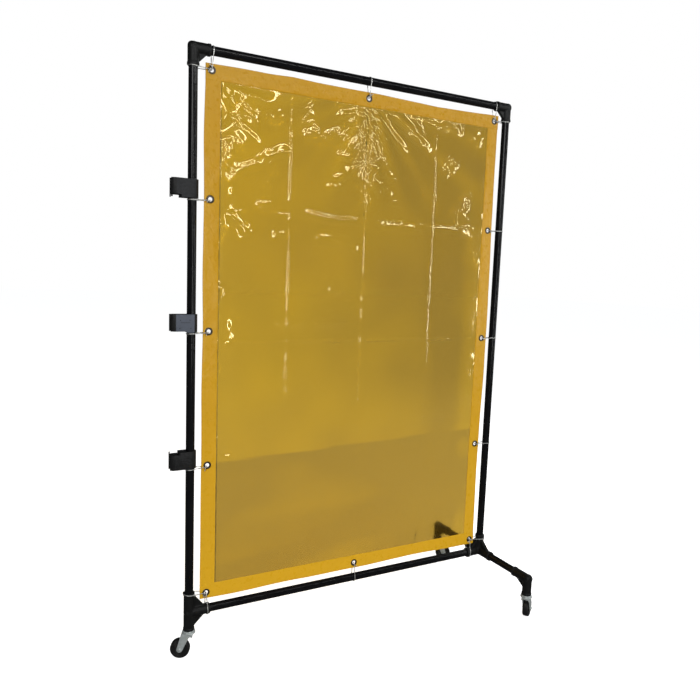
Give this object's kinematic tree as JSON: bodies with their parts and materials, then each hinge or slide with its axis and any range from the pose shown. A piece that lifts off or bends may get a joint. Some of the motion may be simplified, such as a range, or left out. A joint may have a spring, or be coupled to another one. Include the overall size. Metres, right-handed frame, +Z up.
{
  "type": "welding curtain screen",
  "caption": "Free-standing pipe frame on swivel castors with a tinted film curtain laced in by eyelets and wire ties, and snap couplers for the next screen.",
  "frame": {"origin": "on the floor under the middle of the whole object, in the plane of the frame", "axes": "+X along the rails from the single-castor post with the couplers to the post with the two feet, +Y from the front foot to the rear foot, +Z up"},
  "size_m": [1.356, 0.6237, 1.9782],
  "materials": {
    "pipe_coating": "satin black plastic coating on steel pipe",
    "joint_plastic": "moulded black, slightly textured",
    "zinc_steel": "zinc-plated pressed steel",
    "wheel_rubber": "solid black wheel",
    "curtain_film": "clear amber-yellow film with fold creases",
    "curtain_hem": "doubled amber-yellow film, welded",
    "eyelet_metal": "dark blackened metal",
    "tie_wire": "plain steel wire"
  },
  "bodies": {
    "screen_frame": {"left_post": "pipe_coating", "right_post": "pipe_coating", "top_rail": "pipe_coating", "bottom_rail": "pipe_coating", "front_leg": "pipe_coating", "rear_leg": "pipe_coating", "top_joint_left": "joint_plastic", "top_joint_right": "joint_plastic", "foot_joint_left": "joint_plastic", "foot_joint_right": "joint_plastic", "leg_elbow_front": "joint_plastic", "leg_elbow_rear": "joint_plastic", "caster_left_stem": "zinc_steel", "caster_front_stem": "zinc_steel", "caster_rear_stem": "zinc_steel", "curtain_film": "curtain_film", "hem_top": "curtain_hem", "hem_bottom": "curtain_hem", "hem_left": "curtain_hem", "hem_right": "curtain_hem", "eyelet_top_left": "eyelet_metal", "eyelet_top_middle": "eyelet_metal", "eyelet_top_right": "eyelet_metal", "eyelet_bottom_left": "eyelet_metal", "eyelet_bottom_middle": "eyelet_metal", "eyelet_bottom_right": "eyelet_metal", "eyelet_left_lower": "eyelet_metal", "eyelet_left_middle": "eyelet_metal", "eyelet_left_upper": "eyelet_metal", "eyelet_right_lower": "eyelet_metal", "eyelet_right_middle": "eyelet_metal", "eyelet_right_upper": "eyelet_metal", "tie_top_left_post": "tie_wire", "tie_top_left_rail": "tie_wire", "tie_top_middle": "tie_wire", "tie_top_right_post": "tie_wire", "tie_top_right_rail": "tie_wire", "tie_bottom_left_post": "tie_wire", "tie_bottom_left_rail": "tie_wire", "tie_bottom_middle": "tie_wire", "tie_bottom_right_post": "tie_wire", "tie_bottom_right_rail": "tie_wire", "tie_left_lower": "tie_wire", "tie_left_middle": "tie_wire", "tie_left_upper": "tie_wire", "tie_right_lower": "tie_wire", "tie_right_middle": "tie_wire", "tie_right_upper": "tie_wire"},
    "caster_left_swivel": {"caster_left_fork": "zinc_steel", "caster_left_axle": "zinc_steel"},
    "caster_left_roll": {"caster_left_wheel": "wheel_rubber"},
    "caster_front_swivel": {"caster_front_fork": "zinc_steel", "caster_front_axle": "zinc_steel"},
    "caster_front_roll": {"caster_front_wheel": "wheel_rubber"},
    "caster_rear_swivel": {"caster_rear_fork": "zinc_steel", "caster_rear_axle": "zinc_steel"},
    "caster_rear_roll": {"caster_rear_wheel": "wheel_rubber"},
    "coupler_lower_arm": {"coupler_lower": "joint_plastic"},
    "coupler_middle_arm": {"coupler_middle": "joint_plastic"},
    "coupler_upper_arm": {"coupler_upper": "joint_plastic"}
  },
  "joints": [
    {"name": "caster_left_swivel_turn", "type": "hinge", "parent": "screen_frame", "child": "caster_left_swivel", "pos_m": [-0.60954, 0, 0.0884], "axis": [0, 0, 1], "continuous": true},
    {"name": "caster_left_wheel_spin", "type": "hinge", "parent": "caster_left_swivel", "child": "caster_left_roll", "pos_m": [-0.63491, 0.01183, 0.0325], "axis": [-0.4226, -0.9063, 0], "continuous": true},
    {"name": "caster_front_swivel_turn", "type": "hinge", "parent": "screen_frame", "child": "caster_front_swivel", "pos_m": [0.62046, -0.29, 0.0884], "axis": [0, 0, 1], "continuous": true},
    {"name": "caster_front_wheel_spin", "type": "hinge", "parent": "caster_front_swivel", "child": "caster_front_roll", "pos_m": [0.64395, -0.27475, 0.0325], "axis": [-0.5446, 0.8387, 0], "continuous": true},
    {"name": "caster_rear_swivel_turn", "type": "hinge", "parent": "screen_frame", "child": "caster_rear_swivel", "pos_m": [0.62046, 0.29, 0.0884], "axis": [0, 0, 1], "continuous": true},
    {"name": "caster_rear_wheel_spin", "type": "hinge", "parent": "caster_rear_swivel", "child": "caster_rear_roll", "pos_m": [0.64677, 0.28042, 0.0325], "axis": [0.342, 0.9397, 0], "continuous": true},
    {"name": "coupler_lower_turn", "type": "hinge", "parent": "screen_frame", "child": "coupler_lower_arm", "pos_m": [-0.60954, 0, 0.684], "axis": [0, 0, 1], "range_deg": [-120, 120]},
    {"name": "coupler_middle_turn", "type": "hinge", "parent": "screen_frame", "child": "coupler_middle_arm", "pos_m": [-0.60954, 0, 1.126], "axis": [0, 0, 1], "range_deg": [-120, 120]},
    {"name": "coupler_upper_turn", "type": "hinge", "parent": "screen_frame", "child": "coupler_upper_arm", "pos_m": [-0.60954, 0, 1.542], "axis": [0, 0, 1], "range_deg": [-120, 120]}
  ]
}
